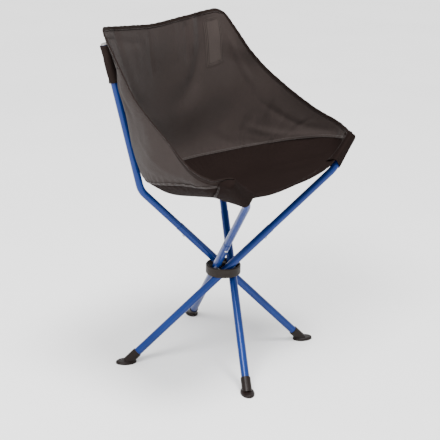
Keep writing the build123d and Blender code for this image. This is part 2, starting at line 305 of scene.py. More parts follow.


# ---------------------------------------------------------------- sectors
# the cloth is split into sectors, two beside each pole, bounded by planes through the hub axis
REACH = {"rr": 1.0, "rl": 1.0, "fr": 0.78, "fl": 0.78}
SECTORS = []
for key in TOP:
    x0, y0 = TOP[key][0] * REACH[key], TOP[key][1] * REACH[key]
    SECTORS.append((key, "x", (x0, HUB_Y, 0.0)))
    SECTORS.append((key, "y", (0.0, HUB_Y + y0, 0.0)))


def sector_of(p):
    """Index into SECTORS for points p (n, 3)."""
    p = np.atleast_2d(p) - HUB
    out = np.zeros(len(p), int)
    for k, (key, side, _) in enumerate(SECTORS):
        x0, y0 = TOP[key][0], TOP[key][1]
        inside = (np.sign(x0) * p[:, 0] >= 0) & (np.sign(y0) * p[:, 1] >= 0)
        ray = np.abs(p[:, 1] / y0) - np.abs(p[:, 0] / x0)
        # the sector beside the plane x = 0 is the one tagged x
        inside &= (ray >= 0) if side == "x" else (ray < 0)
        out[inside] = k
    return out


CUTS = [lambda p: p[:, 0], lambda p: p[:, 1] - HUB_Y]
for key in TOP:
    CUTS.append(lambda p, k=key: (p[:, 1] - HUB_Y) * TOP[k][0] - p[:, 0] * TOP[k][1])


# ---------------------------------------------------------------- materials
class Nodes:
    """Small helper that builds one procedural material."""

    def __init__(self, name):
        self.m = bpy.data.materials.new(name)
        self.m.use_nodes = True
        self.t = self.m.node_tree
        self.t.nodes.clear()
        self.out = self.t.nodes.new("ShaderNodeOutputMaterial")
        self.bsdf = self.t.nodes.new("ShaderNodeBsdfPrincipled")
        self.t.links.new(self.bsdf.outputs[0], self.out.inputs[0])

    def node(self, kind, links=(), **values):
        n = self.t.nodes.new(kind)
        for k, v in values.items():
            setattr(n, k, v)
        for sock, value in dict(links).items():
            self.put(n, sock, value)
        return n

    def put(self, n, sock, value):
        if isinstance(value, bpy.types.NodeSocket):
            self.t.links.new(value, n.inputs[sock])
        elif isinstance(value, bpy.types.Node):
            self.t.links.new(value.outputs[0], n.inputs[sock])
        else:
            n.inputs[sock].default_value = value

    def set(self, sock, value):
        """Gives one socket of the surface shader its value or link."""
        self.put(self.bsdf, sock, value)

    def coord(self, kind="Object"):
        return self.node("ShaderNodeTexCoord").outputs[kind]

    def math(self, op, a, b=0.0):
        return self.node("ShaderNodeMath", {0: a, 1: b}, operation=op).outputs[0]

    def times(self, a, b):
        return self.math("MULTIPLY", a, b)

    def plus(self, a, b):
        return self.math("ADD", a, b)

    def noise(self, at, scale, detail=3.0, rough=0.55):
        links = {"Vector": at, "Scale": scale, "Detail": detail, "Roughness": rough}
        return self.node("ShaderNodeTexNoise", links).outputs[0]

    def ramp(self, fac, stops):
        n = self.node("ShaderNodeValToRGB", {0: fac})
        els = n.color_ramp.elements
        while len(els) < len(stops):
            els.new(0.5)
        for e, (pos, col) in zip(els, stops):
            e.position = pos
            e.color = (*col, 1) if len(col) == 3 else col
        return n.outputs[0]

    def mix(self, fac, a, b, blend="MIX"):
        n = self.node("ShaderNodeMix", data_type="RGBA", blend_type=blend)
        self.put(n, 0, fac)
        self.put(n, 6, a if not isinstance(a, tuple) else (*a, 1))
        self.put(n, 7, b if not isinstance(b, tuple) else (*b, 1))
        return n.outputs[2]

    def bump(self, height, distance, strength=1.0, under=None):
        links = {"Height": height, "Distance": distance, "Strength": strength}
        if under is not None:
            links["Normal"] = under
        return self.node("ShaderNodeBump", links).outputs[0]


def shade(c, k):
    return tuple(min(1.0, x * k) for x in c)


def weave_material(name, colour, pitch=0.0011, rough=0.82, sheen=0.05, spec=0.10, depth=0.00016,
                   worn=1.35, recess_shade=0.72):
    """Basket weave in the cloth's flat coordinates (UV in metres), with painted shade between the threads."""
    n = Nodes(name)
    uv = n.coord("UV")
    sep = n.node("ShaderNodeSeparateXYZ", {0: uv})
    k = 2 * math.pi / pitch
    a = n.math("SINE", n.times(sep.outputs[0], k))
    b = n.math("SINE", n.times(sep.outputs[1], k))
    over = n.times(a, b)
    thread = n.plus(n.times(n.math("ABSOLUTE", a), 0.5), n.times(n.math("ABSOLUTE", b), 0.5))
    height = n.plus(n.times(over, 0.35), thread)
    cloud = n.noise(uv, 9.0, 4.0)
    mottle = n.noise(uv, 160.0, 3.0)
    fibre = n.noise(uv, 1500.0, 2.0)
    tone = n.ramp(cloud, [(0.3, shade(colour, 0.86)), (0.7, shade(colour, 1.12))])
    tone = n.mix(n.times(mottle, 0.35), tone, shade(colour, worn))
    # painted shade: the low places of the weave, between the threads, are darkened
    tone = n.mix(n.times(n.math("SUBTRACT", 1.0, height), 0.55), tone, shade(colour, recess_shade))
    n.set("Base Color", tone)
    n.set("Roughness", n.plus(n.times(fibre, 0.16), rough - 0.08))
    n.set("Sheen Weight", sheen)
    n.set("Sheen Roughness", 0.45)
    n.set("Specular IOR Level", spec)
    creases = n.bump(n.noise(uv, 55.0, 4.0), 0.0012, 0.35)
    n.set("Normal", n.bump(height, depth, 0.9, creases))
    return n.m


def webbing_material(name, colour, pitch=0.0016, rough=0.8):
    """Ribbed woven tape: ribs across the run, a chevron of threads between."""
    n = Nodes(name)
    uv = n.coord("UV")
    sep = n.node("ShaderNodeSeparateXYZ", {0: uv})
    k = 2 * math.pi / pitch
    rib = n.math("ABSOLUTE", n.math("SINE", n.times(sep.outputs[0], k / 2)))
    zig = n.math("ABSOLUTE", n.math("SINE", n.plus(n.times(sep.outputs[1], k), n.times(rib, 1.2))))
    height = n.plus(n.times(rib, 0.7), n.times(zig, 0.3))
    cloud = n.noise(uv, 18.0, 4.0)
    fuzz = n.noise(uv, 900.0, 2.0)
    tone = n.ramp(cloud, [(0.3, shade(colour, 0.8)), (0.72, shade(colour, 1.25))])
    # painted shade: the valleys between the ribs and threads are darkened
    tone = n.mix(n.times(n.math("SUBTRACT", 1.0, height), 0.6), tone, shade(colour, 0.55))
    tone = n.mix(n.times(fuzz, 0.18), tone, shade(colour, 2.0))
    n.set("Base Color", tone)
    n.set("Roughness", n.plus(n.times(fuzz, 0.15), rough - 0.07))
    n.set("Sheen Weight", 0.01)
    n.set("Specular IOR Level", 0.05)
    n.set("Normal", n.bump(height, 0.00022, 0.9))
    return n.m


def tube_material(name, colour):
    """Satin colour coat on drawn aluminium tube, with faint clouding and scuffs."""
    n = Nodes(name)
    at = n.coord("Object")
    cloud = n.noise(at, 14.0, 3.0)
    fine = n.noise(at, 900.0, 2.0)
    scuff = n.ramp(n.noise(at, 75.0, 6.0, 0.7), [(0.70, (0, 0, 0)), (0.78, (1, 1, 1))])
    tone = n.ramp(cloud, [(0.3, shade(colour, 0.88)), (0.7, shade(colour, 1.12))])
    tone = n.mix(n.times(scuff, 0.18), tone, shade(colour, 1.9))
    n.set("Base Color", tone)
    n.set("Metallic", 0.25)
    n.set("Specular IOR Level", 0.08)
    n.set("Roughness", n.plus(n.times(cloud, 0.10), n.plus(n.times(scuff, 0.15), 0.27)))
    n.set("Coat Weight", 0.35)
    n.set("Coat Roughness", 0.06)
    n.set("Normal", n.bump(fine, 0.00003, 0.5))
    return n.m


def moulded_material(name, colour, rough=0.55, grain=420.0, depth=0.00008, spec=0.4):
    """Moulded plastic or rubber: fine grain, handling marks, lighter rubbed spots."""
    n = Nodes(name)
    at = n.coord("Object")
    cloud = n.noise(at, 38.0, 4.0)
    pits = n.noise(at, grain, 3.0)
    dust = n.ramp(n.noise(at, 120.0, 6.0, 0.7), [(0.55, (0, 0, 0)), (0.75, (1, 1, 1))])
    tone = n.ramp(cloud, [(0.3, shade(colour, 0.82)), (0.7, shade(colour, 1.18))])
    tone = n.mix(n.times(dust, 0.22), tone, shade(colour, 1.9))
    n.set("Base Color", tone)
    n.set("Roughness", n.plus(n.times(pits, 0.2), rough - 0.1))
    n.set("Specular IOR Level", spec)
    n.set("Normal", n.bump(pits, depth, 0.7))
    return n.m


def metal_material(name, colour, rough=0.3, brushed=True):
    n = Nodes(name)
    at = n.coord("Object")
    stretch = n.node("ShaderNodeMapping", {0: at})
    stretch.inputs["Scale"].default_value = (1, 1, 9) if brushed else (1, 1, 1)
    streak = n.noise(stretch.outputs[0], 500.0, 3.0)
    cloud = n.noise(at, 60.0, 3.0)
    n.set("Base Color", n.ramp(cloud, [(0.3, shade(colour, 0.85)), (0.7, shade(colour, 1.1))]))
    n.set("Metallic", 1.0)
    n.set("Roughness", n.plus(n.times(streak, 0.25), rough - 0.1))
    n.set("Normal", n.bump(streak, 0.00003, 0.5))
    return n.m


def thread_material(name, colour, sheen=0.2, spec=0.5):
    n = Nodes(name)
    at = n.coord("Object")
    links = {"Vector": at, "Scale": 500.0, "Distortion": 1.5}
    twist = n.node("ShaderNodeTexWave", links, bands_direction="DIAGONAL")
    tone = n.mix(n.times(twist.outputs[1], 0.5), colour, shade(colour, 0.6))
    tone = n.mix(n.times(n.noise(at, 300.0), 0.3), tone, shade(colour, 1.4))
    n.set("Base Color", tone)
    n.set("Roughness", 0.6)
    n.set("Sheen Weight", sheen)
    n.set("Specular IOR Level", spec)
    n.set("Normal", n.bump(twist.outputs[1], 0.0001, 0.8))
    return n.m


MAT = {
    "grey_cloth": weave_material("grey_cloth", (0.0285, 0.0214, 0.0195)),
    "patch_cloth": weave_material("patch_cloth", (0.0385, 0.0298, 0.0270)),
    "dark_cloth": weave_material("dark_cloth", (0.0102, 0.0064, 0.0056), sheen=0.0, spec=0.03, worn=1.5),
    "dark_tape": webbing_material("dark_tape", (0.0135, 0.0088, 0.0076)),
    "blue_tube": tube_material("blue_tube", (0.0030, 0.0225, 0.138)),
    "hub_plastic": moulded_material("hub_plastic", (0.0200, 0.0155, 0.0130), rough=0.5, spec=0.12),
    "foot_rubber": moulded_material("foot_rubber", (0.0090, 0.0054, 0.0045), rough=0.36, grain=600.0,
                                    spec=0.16),
    "cap_plastic": moulded_material("cap_plastic", (0.26, 0.25, 0.24), rough=0.5),
    "pin_steel": metal_material("pin_steel", (0.30, 0.30, 0.31), 0.32),
    "spring_steel": metal_material("spring_steel", (0.26, 0.26, 0.28), 0.36),
    "button_metal": metal_material("button_metal", (0.50, 0.50, 0.52), 0.24, brushed=False),
    "thread": thread_material("thread", (0.030, 0.024, 0.022)),
    # a dark thread: its colour paints the shade in the stitch holes
    "shade_dark_thread": thread_material("shade_dark_thread", (0.0085, 0.0060, 0.0054), sheen=0.0, spec=0.05),
}


# ---------------------------------------------------------------- mesh tools
def new_object(name, verts, faces, normals, uv, material):
    mesh = bpy.data.meshes.new(name)
    mesh.from_pydata([tuple(v) for v in verts], [], [tuple(int(i) for i in f) for f in faces])
    layer = mesh.uv_layers.new(name="UVMap")
    idx = np.zeros(len(mesh.loops), int)
    mesh.loops.foreach_get("vertex_index", idx)
    layer.data.foreach_set("uv", np.asarray(uv, float)[idx].astype(np.float32).ravel())
    mesh.polygons.foreach_set("use_smooth", [True] * len(mesh.polygons))
    mesh.validate()
    if normals is not None and len(mesh.vertices) == len(normals):
        mesh.normals_split_custom_set_from_vertices([tuple(v) for v in normals])
    mesh.materials.append(material)
    o = bpy.data.objects.new(name, mesh)
    bpy.context.scene.collection.objects.link(o)
    return o


def follow(o):
    """Bakes the piece's transform into its mesh."""
    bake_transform(o)


def triangles(faces):
    return np.array([(f[0], f[k], f[k + 1]) for f in faces for k in range(1, len(f) - 1)])


class Skin:
    """A middle surface with a normal, flat coordinates and tags on each vertex."""

    def __init__(self, pts, nrm, uv, tag, faces):
        self.bm = bmesh.new()
        self.n = self.bm.verts.layers.float_vector.new("n")
        self.f = self.bm.verts.layers.float_vector.new("flat")
        self.g = self.bm.verts.layers.float_vector.new("tag")
        made = []
        for p, q, t, g in zip(pts, nrm, uv, tag):
            v = self.bm.verts.new(p)
            v[self.n] = q
            v[self.f] = (t[0], t[1], 0)
            v[self.g] = g
            made.append(v)
        for face in faces:
            self.bm.faces.new([made[i] for i in face])

    def arrays(self):
        self.bm.verts.ensure_lookup_table()
        self.bm.verts.index_update()
        p = np.array([v.co for v in self.bm.verts])
        g = np.array([v[self.g] for v in self.bm.verts])
        return p, g

    def cut(self, fn, tags=False):
        p, g = self.arrays()
        s = fn(g if tags else p)
        s[np.abs(s) < 1e-7] = 0
        s = s.tolist()
        made = [v for v, k in zip(self.bm.verts, s) if k == 0]
        crossing = [(e, s[e.verts[0].index], s[e.verts[1].index]) for e in self.bm.edges
                    if s[e.verts[0].index] * s[e.verts[1].index] < 0]
        for e, a, b in crossing:
            made.append(bmesh.utils.edge_split(e, e.verts[0], a / (a - b))[1])
        if made:
            bmesh.ops.connect_verts(self.bm, verts=made, check_degenerate=True)

    def drop(self, fn, tags=False):
        """Removes faces whose middle has fn < 0."""
        p, g = self.arrays()
        s = fn(g if tags else p).tolist()
        bad = [f for f in self.bm.faces if sum(s[v.index] for v in f.verts) < 0]
        bmesh.ops.delete(self.bm, geom=bad, context="FACES")

    def outline(self):
        """Ordered boundary loops as lists of BMVerts."""
        edges = {e for e in self.bm.edges if e.is_boundary}
        loops = []
        while edges:
            e = edges.pop()
            loop = [e.verts[0], e.verts[1]]
            while loop[-1] is not loop[0]:
                nxt = [x for x in loop[-1].link_edges if x in edges]
                if not nxt:
                    break
                edges.remove(nxt[0])
                loop.append(nxt[0].other_vert(loop[-1]))
            loops.append(loop)
        return loops

    def line(self, fn):
        """Ordered vertices along fn = 0 (after cut), the longest chain."""
        p, _ = self.arrays()
        on = np.abs(fn(p)) < 1e-5
        edges = {e for e in self.bm.edges if on[e.verts[0].index] and on[e.verts[1].index]}
        best = []
        while edges:
            e = edges.pop()
            chain = [e.verts[0], e.verts[1]]
            for end in (0, 1):
                while True:
                    tip = chain[-1]
                    nxt = [x for x in tip.link_edges if x in edges]
                    if not nxt:
                        break
                    edges.remove(nxt[0])
                    chain.append(nxt[0].other_vert(tip))
                chain.reverse()
            if len(chain) > len(best):
                best = chain
        return best

    def pieces(self, name, lo, hi, material, nodes, keep=None, whole=False, held="hung"):
        """Closed thin pieces, one for each sector, between offsets lo and hi of the surface.
        keep picks faces by their middles; whole keeps one piece in its main sector; held is not used."""
        p, _ = self.arrays()
        nn = unit(np.array([v[self.n] for v in self.bm.verts]))
        uv = np.array([v[self.f][:2] for v in self.bm.verts])
        groups = {}
        faces = [[v.index for v in f.verts] for f in self.bm.faces]
        mids = np.array([f.calc_center_median() for f in self.bm.faces])
        sect = sector_of(mids)
        if whole:
            sect[:] = np.bincount(sect).argmax()
        wanted = np.ones(len(faces), bool) if keep is None else keep(mids)
        for ids, k, want in zip(faces, sect.tolist(), wanted.tolist()):
            if want:
                groups.setdefault(k, []).append(ids)
        for k, part in sorted(groups.items()):
            used = sorted({i for f in part for i in f})
            at = {i: j for j, i in enumerate(used)}
            m = len(used)
            top = p[used] + nn[used] * hi
            low = p[used] + nn[used] * lo
            out = [[at[i] for i in f] for f in part]
            under = [[at[i] + m for i in f][::-1] for f in part]
            count = {}
            for f in out:
                for a, b in zip(f, f[1:] + f[:1]):
                    count[(a, b)] = count.get((a, b), 0) + 1
            rim = [[b, a, a + m, b + m] for (a, b) in count if (b, a) not in count]
            o = new_object(f"{name}_{k + 1}", np.vstack([top, low]), out + under + rim,
                           np.vstack([nn[used], -nn[used]]), np.vstack([uv[used], uv[used]]), material)
            follow(o)
            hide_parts(*nodes)
            if held is None:
                continue


def resample(p, extra, step):
    """Evenly spaced points on polyline p, with the rows of extra carried along."""
    s = np.concatenate([[0], np.cumsum(np.linalg.norm(np.diff(p, axis=0), axis=1))])
    n = max(2, int(round(s[-1] / step)) + 1)
    t = np.linspace(0, s[-1], n)
    both = np.hstack([p, extra])
    got = np.stack([np.interp(t, s, both[:, c]) for c in range(both.shape[1])], -1)
    return got[:, :3], got[:, 3:], t


def runs(p):
    """Splits a path (with inserted crossing points) into (sector, i0, i1) runs."""
    mid = (p[1:] + p[:-1]) / 2
    sec = sector_of(mid)
    out, i = [], 0
    while i < len(sec):
        j = i
        while j + 1 < len(sec) and sec[j + 1] == sec[i]:
            j += 1
        out.append((int(sec[i]), i, j + 2))
        i = j + 1
    return out


def with_crossings(p, extra):
    """Adds the points where the path crosses a plane between sectors."""
    for fn in CUTS:
        s = fn(p)
        rows, ex = [p[0]], [extra[0]]
        for k in range(1, len(p)):
            if s[k - 1] * s[k] < 0:
                t = s[k - 1] / (s[k - 1] - s[k])
                if 0.02 < t < 0.98:
                    rows.append(p[k - 1] + (p[k] - p[k - 1]) * t)
                    ex.append(extra[k - 1] + (extra[k] - extra[k - 1]) * t)
            rows.append(p[k])
            ex.append(extra[k])
        p, extra = np.array(rows), np.array(ex)
    return p, extra


def ring_strip(p, side, nrm, profile):
    """Sweeps profile points (a along side, b along the normal) down a path.
    Returns vertices, faces and flat coordinates of a capped strip."""
    m = len(profile)
    prof = np.asarray(profile, float)
    verts = p[:, None] + side[:, None] * prof[None, :, :1] + nrm[:, None] * prof[None, :, 1:2]
    faces = []
    for i in range(len(p) - 1):
        for j in range(m):
            k = (j + 1) % m
            faces.append([i * m + j, i * m + k, (i + 1) * m + k, (i + 1) * m + j])
    faces.append(list(range(m))[::-1])
    faces.append([(len(p) - 1) * m + j for j in range(m)])
    s = np.concatenate([[0], np.cumsum(np.linalg.norm(np.diff(p, axis=0), axis=1))])
    t = np.concatenate([[0], np.cumsum(np.linalg.norm(np.diff(prof, axis=0), axis=1))])
    uv = np.stack([np.repeat(s, m), np.tile(t, len(p))], -1)
    return verts.reshape(-1, 3), faces, uv


def fix_winding(verts, faces):
    """Turns the faces so that the closed mesh's volume is positive."""
    a, b, c = (np.asarray(verts)[i] for i in triangles(faces).T)
    return faces if (a * np.cross(b, c)).sum() > 0 else [f[::-1] for f in faces]


def strip_pieces(name, p, nrm, outward, profile, material, nodes):
    """A swept strip along a path on the sling, split where the sectors meet."""
    extra = np.hstack([nrm, outward])
    p, extra = with_crossings(p, extra)
    nrm, outward = unit(extra[:, :3]), unit(extra[:, 3:6])
    for num, (sec, i0, i1) in enumerate(runs(p)):
        if i1 - i0 < 2:
            continue
        q, n, e = p[i0:i1], nrm[i0:i1], outward[i0:i1]
        verts, faces, uv = ring_strip(q, e, n, profile)
        faces = fix_winding(verts, faces)
        o = new_object(f"{name}_{num + 1}", verts, faces, None, uv, material)
        follow(o)
        if nodes:
            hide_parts(*nodes)


def tape_profile(width_in, width_out, half, reach, n=7):
    """Folded tape: wide on the inner face, narrow on the outer, a round fold
    between. a grows outward past the cloth edge, b to the outer face."""
    pts = [(-width_out, half * 0.62), (-width_out + 0.0005, half * 0.95)]
    for k in range(n + 1):
        ang = math.pi / 2 - math.pi * k / n
        pts.append((reach - half + half * math.cos(ang), half * math.sin(ang)))
    pts += [(-width_in * 0.3, -half), (-width_in * 0.65, -half), (-width_in + 0.0007, -half * 0.95),
            (-width_in, -half * 0.62)]
    return pts


# one stitch: points along, across and up, in half lengths and half widths
STITCH = [(1.0, 0, 0), (0.55, 0.75, 0.55), (0.55, -0.75, 0.55), (-0.55, 0.75, 0.55),
          (-0.55, -0.75, 0.55), (-1.0, 0, 0), (0.0, 0.95, 0.75), (0.0, -0.95, 0.75)]
STITCH_FACES = [(0, 1, 2), (1, 6, 7, 2), (6, 3, 4, 7), (3, 5, 4)]


def stitches(name, p, nrm, material, pitch=0.0036, long=0.0027, wide=0.0005, body=None):
    """A line of small raised thread stitches along a path."""
    q, ex, _ = resample(p, nrm, pitch)
    n = unit(ex)
    tan = unit(np.gradient(q, axis=0))
    side = unit(np.cross(n, tan))
    n = unit(np.cross(tan, side))
    sec = sector_of(q)
    groups = {}
    for i in range(len(q)):
        groups.setdefault(0 if body else int(sec[i]), []).append(i)
    for k, ids in sorted(groups.items()):
        verts, faces, normals, uv = [], [], [], []
        for i in ids:
            b = len(verts)
            for (a, c, hgt) in STITCH:
                rise = hgt * wide * 0.9 - 0.0001
                verts.append(q[i] + tan[i] * a * long / 2 + side[i] * c * wide + n[i] * rise)
                normals.append(unit(n[i] * 0.8 + side[i] * c * 0.5 + tan[i] * a * 0.3))
                uv.append((a * long, c * wide))
            for f in STITCH_FACES:
                faces.append([b + j for j in f])
        o = new_object(f"{name}_{k + 1}", verts, faces, normals, uv, material)
        if body:
            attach(o, body)
        else:
            follow(o)


# ---------------------------------------------------------------- sling pieces
def grid_faces(rows, cols):
    a = np.arange(rows * cols).reshape(rows, cols)
    return np.stack([a[:-1, :-1], a[:-1, 1:], a[1:, 1:], a[1:, :-1]], -1).reshape(-1, 4)


CORNER = 0.024
half_width = np.abs(flat[:, -1, 0])


def corner_gap(tag):
    """Positive inside the rounded top corners; tag holds theta, u and arc from the top."""
    a = (1 - np.abs(tag[:, 1])) * np.interp(tag[:, 0], theta_axis, half_width)
    b = tag[:, 2]
    g = CORNER - np.hypot(CORNER - a, CORNER - b)
    return np.where((a < CORNER) & (b < CORNER), g, np.maximum(a, b) - CORNER + 1e-3)


grid_points, grid_normal = cloth.reshape(-1, 3), cloth_n.reshape(-1, 3)
faces = grid_faces(ROWS, COLS)
fa, fb, fc = (grid_points[faces[:, k]] for k in range(3))
# 1 where a grid's faces already wind outward, else -1
WINDING = 1 if (np.cross(fb - fa, fc - fa) * grid_normal[faces[:, 0]]).sum() >= 0 else -1
faces = faces[:, ::WINDING]
from_top = flat[-1:, :, 1] - flat[:, :, 1]
tags = np.stack([T2, U2, from_top], -1).reshape(-1, 3)
skin = Skin(grid_points, grid_normal, flat.reshape(-1, 2), tags, faces)
skin.cut(corner_gap, tags=True)
skin.drop(corner_gap, tags=True)
rim_loop = max(skin.outline(), key=len)
if rim_loop[0] is rim_loop[-1]:
    rim_loop = rim_loop[:-1]
rim_p = np.array([v.co for v in rim_loop])
rim_n = unit(np.array([v[skin.n] for v in rim_loop]))
rim_tag = np.array([v[skin.g] for v in rim_loop])


def seam_fn(p):
    return p[:, 2] - seam_height(p[:, 1])


skin.cut(seam_fn)
seam_chain = skin.line(seam_fn)
# always from the right wing to the left, so that the pieces keep their numbers
if seam_chain[0].co.x > seam_chain[-1].co.x:
    seam_chain = seam_chain[::-1]
seam_p = np.array([v.co for v in seam_chain])
seam_n = unit(np.array([v[skin.n] for v in seam_chain]))
for fn in CUTS:
    skin.cut(fn)
skin.pieces("back_panel", -CLOTH / 2, CLOTH / 2, MAT["grey_cloth"], ["back_panel"],
            keep=lambda m: seam_fn(m) > 0)
skin.pieces("seat_panel", -CLOTH / 2, CLOTH / 2, MAT["dark_cloth"], ["seat_panel"],
            keep=lambda m: seam_fn(m) <= 0)


# ---- binding: the outline split into front hem, two wing edges and the top ----
def arc(first, last):
    """Indices along the rim loop from one index to the other, wrapping."""
    n = len(rim_p)
    return [i % n for i in range(first, last + 1 + (n if last < first else 0))]


def nearest(theta, u):
    """Index of the rim point nearest to (theta, u)."""
    return int(np.argmin(((rim_tag[:, 0] - theta) / THETA_END)**2 + (rim_tag[:, 1] - u)**2))


def top_corner(sgn):
    """Index of the rim point in the middle of a rounded top corner."""
    return int(np.argmin(np.hypot(rim_tag[:, 0] - 75.9, (rim_tag[:, 1] - sgn * 0.982) * 40)))


def rim_path(i0, i1, via):
    """The way along the rim from i0 to i1 that passes via."""
    a, b = arc(i0, i1), arc(i1, i0)[::-1]
    return a if via in a else b


front_r, front_l = nearest(0, -1), nearest(0, 1)
corner_r, corner_l = top_corner(-1), top_corner(1)
# path, width on the inner and outer face, half thickness, reach past the edge, material
EDGES = {
    "front_hem": (rim_path(front_r, front_l, nearest(0, 0)), 0.024, 0.024, 0.0011, 0.0012, "dark_cloth"),
    "edge_tape_right": (rim_path(front_r, corner_r, nearest(40, -1)), 0.0088, 0.0026, 0.00135, 0.0016,
                        "dark_tape"),
    "edge_tape_left": (rim_path(front_l, corner_l, nearest(40, 1)), 0.0088, 0.0026, 0.00135, 0.0016,
                       "dark_tape"),
    "top_tape": (rim_path(corner_r, corner_l, nearest(78, 0)), 0.0088, 0.0060, 0.0014, 0.0017, "dark_tape"),
}
for name, (ids, width_in, width_out, half, reach, mat) in EDGES.items():
    p, ex, _ = resample(rim_p[ids], rim_n[ids], 0.0035)
    n = unit(ex)
    tan = unit(np.gradient(p, axis=0))
    e = unit(np.cross(tan, n))
    if e[len(p) // 2] @ (on_sling(40.0, 0.0)[0] - p[len(p) // 2]) > 0:
        e = -e
    count = np.arange(len(p), dtype=float)
    wave = 0.0004 * np.sin(count * 0.9 + 3 * value_noise(np.stack([count, count], -1), 9.0, 11))
    p = p + e * wave[:, None]
    strip_pieces(name, p, n, e, tape_profile(width_in, width_out, half, reach), MAT[mat], [name])
    for sgn, width, tag in ((1, width_out, "out"), (-1, width_in, "in")):
        inset = max(width - 0.0022, 0.0012)
        stitches(f"{name}_stitch_{tag}", p - e * inset + n * sgn * half * 0.98, n * sgn, MAT["thread"])

# ---- towards the front corners the tape is turned over onto the outer face ----
def facing(sgn, name):
    """The outer leg of the wing's edge tape, which widens towards the front corner."""
    rows, cols, narrow, wide = 90, 9, 0.0020, 0.0150
    thetas = np.linspace(0.6, 27.0, rows)
    pts, nrm, uv = [], [], []
    for t in thetas:
        hw = float(np.interp(t, theta_axis, half_width))
        far = narrow + 0.0007 + (wide - narrow) * float(1 - smooth(np.array(t), 8.0, 27.0))
        for d in np.linspace(narrow, far, cols):
            p, n, f = on_sling(t, sgn * (1 - d / hw), CLOTH / 2 + 0.0006)
            pts.append(p)
            nrm.append(n)
            uv.append(f[::-1] + 0.5)
    s = Skin(pts, nrm, uv, np.zeros((rows * cols, 3)), grid_faces(rows, cols)[:, ::-sgn * WINDING])
    for fn in CUTS:
        s.cut(fn)
    s.pieces(f"{name}_facing", -0.0004, 0.0005, MAT["dark_tape"], [name], held=None)


facing(-1, "edge_tape_right")
facing(1, "edge_tape_left")

# ---- felled seam between seat and back: a low welt with two stitch rows ----
sp, sex, _ = resample(seam_p, seam_n, 0.0035)
sn = unit(sex)
st = unit(np.gradient(sp, axis=0))
se = unit(np.cross(st, sn))
if se[len(sp) // 2] @ np.array([0, 0, 1]) < 0:
    se = -se
WELT = [(-0.0005, 0.0), (-0.0003, 0.0009), (0.001, 0.0012), (0.004, 0.0012), (0.0062, 0.0010),
        (0.0068, 0.0004), (0.0068, 0.0)]
for sgn, tag in ((1, "out"), (-1, "in")):
    off = CLOTH / 2 * sgn
    strip_pieces(f"seam_welt_{tag}", sp + sn * off, sn * sgn, se, WELT, MAT["grey_cloth"], [])
    for k, d in enumerate((0.0012, 0.0052)):
        stitches(f"seam_stitch_{tag}_{k + 1}", sp + sn * (off + sgn * 0.0012) + se * d, sn * sgn,
                 MAT["thread"])


# ---- patches on the inner face of the back ----
PATCH_TOP, PATCH_LOW = (75.3, 0.815), (59.6, 0.643)
PATCH_HALF = 0.0240


def patch(side, name, cloth_name):
    """A stitched cloth patch over the sleeve seam, rounded at its upper corners."""
    rows, cols = 44, 17
    length = float(np.linalg.norm(on_sling(*PATCH_TOP)[0] - on_sling(*PATCH_LOW)[0]))

    def place(x, y, off):
        """x across from the centre line, y up from the lower edge, in metres."""
        v = y / length
        t = PATCH_LOW[0] + (PATCH_TOP[0] - PATCH_LOW[0]) * v
        u = PATCH_LOW[1] + (PATCH_TOP[1] - PATCH_LOW[1]) * v
        hw = float(np.interp(t, theta_axis, half_width))
        return on_sling(t, side * u + x / hw, off)

    def half_at(y, inset):
        """Half width of the outline, moved in by inset, at height y."""
        ww, top, low = PATCH_HALF - inset, length - inset, inset
        for edge, r in ((top - y, max(0.011 - inset, 0.003)), (y - low, 0.003)):
            if edge < r:
                ww = ww - r + math.sqrt(max(r * r - (r - max(edge, 0))**2, 0))
        return ww
    pts, nrm, uv = [], [], []
    for i in range(rows):
        y = length * i / (rows - 1)
        wide = half_at(y, 0.0)
        for j in range(cols):
            k = 2 * j / (cols - 1) - 1
            edge = min(y, length - y, (1 - abs(k)) * wide)
            puff = 0.0007 * (1 - math.exp(-edge / 0.003))
            p, n, f = place(k * wide, y, -(CLOTH / 2 + 0.0006) - puff)
            pts.append(p)
            nrm.append(n)
            uv.append(f + 0.37)
    s = Skin(pts, nrm, uv, np.zeros((rows * cols, 3)), grid_faces(rows, cols)[:, ::WINDING])
    s.pieces(name, -0.0005, 0.0007, MAT[cloth_name], [name], whole=True, held="laid")
    # the stitch rows use the dark thread, whose colour paints the shade in the stitch holes
    for ring, inset in enumerate((0.0026, 0.0064)):
        ys = np.linspace(inset + 0.0003, length - inset - 0.0003, 60)
        left = [(-half_at(y, inset), y) for y in ys]
        path = left + [(-x, y) for x, y in left[::-1]] + left[:1]
        got = [place(x, y, -(CLOTH / 2 + 0.0019)) for x, y in path]
        stitches(f"{name}_stitch_{ring + 1}", np.array([g[0] for g in got]), -np.array([g[1] for g in got]),
                 MAT["shade_dark_thread"], long=0.0034, wide=0.0006)


patch(-1, "back_patch_right", "grey_cloth")
patch(1, "back_patch_left", "patch_cloth")


# ---- sleeves on the rear poles, pockets on the front pole ends ----
SLEEVE_SEED = 41


